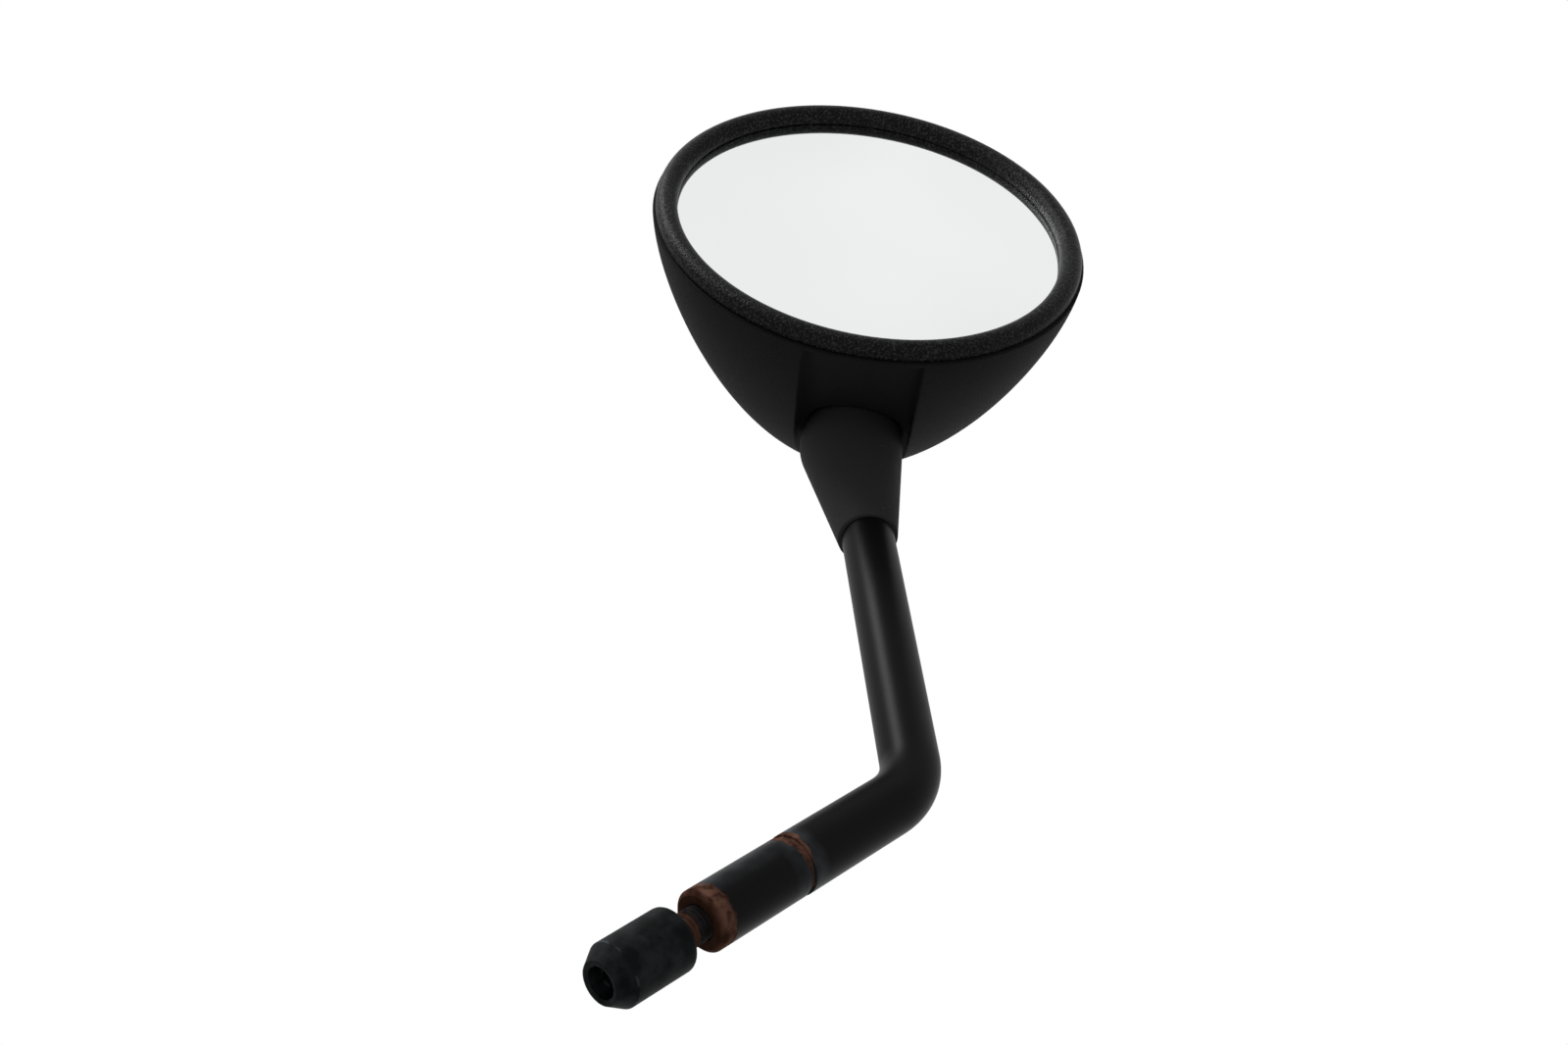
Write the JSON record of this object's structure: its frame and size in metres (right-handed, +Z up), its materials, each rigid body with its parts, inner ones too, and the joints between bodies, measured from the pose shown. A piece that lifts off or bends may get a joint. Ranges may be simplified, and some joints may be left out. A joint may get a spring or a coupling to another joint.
{
  "type": "motorcycle mirror",
  "caption": "Handlebar mirror: deep oval bowl head with a convex glass, turning on a ball joint under a rubber boot, on a bent rod stem with a clamp bolt in its foot.",
  "frame": {"origin": "on the stem's axis, at the middle of the turned land at its foot that the handlebar clamp grips", "axes": "+Z up the axis of the clamped foot, -Y the way the glass faces, towards the rider, -X the way the stem leans, outwards"},
  "size_m": [0.2033, 0.0942, 0.2709],
  "materials": {
    "stem_paint": "satin black",
    "bolt_steel": "dark oxide",
    "boot_rubber": "matte",
    "housing_plastic": "fine grain",
    "bezel_plastic": "grained",
    "mirror_glass": "silvered",
    "pad_foam": "foam",
    "carrier_plastic": "moulded",
    "stud_steel": "ground",
    "zinc_steel": "zinc plated",
    "socket_steel": "turned",
    "seat_nylon": "natural nylon",
    "spring_steel": "tempered"
  },
  "bodies": {
    "stem": {"stem": "stem_paint", "clamp_bolt": "bolt_steel", "boot": "boot_rubber", "socket_body": "socket_steel", "socket_cap": "socket_steel", "seat_spring": "spring_steel"},
    "lower_seat": {"lower_seat": "seat_nylon"},
    "upper_seat": {"upper_seat": "seat_nylon"},
    "head": {"ball_stud": "stud_steel", "stud_washer": "zinc_steel", "stud_nut": "zinc_steel", "housing": "housing_plastic", "bezel": "bezel_plastic", "mirror_glass": "mirror_glass", "backing_pad": "pad_foam", "carrier_plate": "carrier_plastic"}
  },
  "joints": [
    {"name": "head_twist", "type": "hinge", "parent": "stem", "child": "lower_seat", "pos_m": [-0.10427, 0, 0.15191], "axis": [0.7385, 0, -0.6743], "continuous": true},
    {"name": "head_swing", "type": "hinge", "parent": "lower_seat", "child": "upper_seat", "pos_m": [-0.10427, 0, 0.15191], "axis": [0.0967, 0.9897, 0.1059], "range_deg": [-10, 10]},
    {"name": "head_tilt", "type": "hinge", "parent": "upper_seat", "child": "head", "pos_m": [-0.10427, 0, 0.15191], "axis": [0.6673, -0.1434, 0.7308], "range_deg": [-13, 13]}
  ]
}
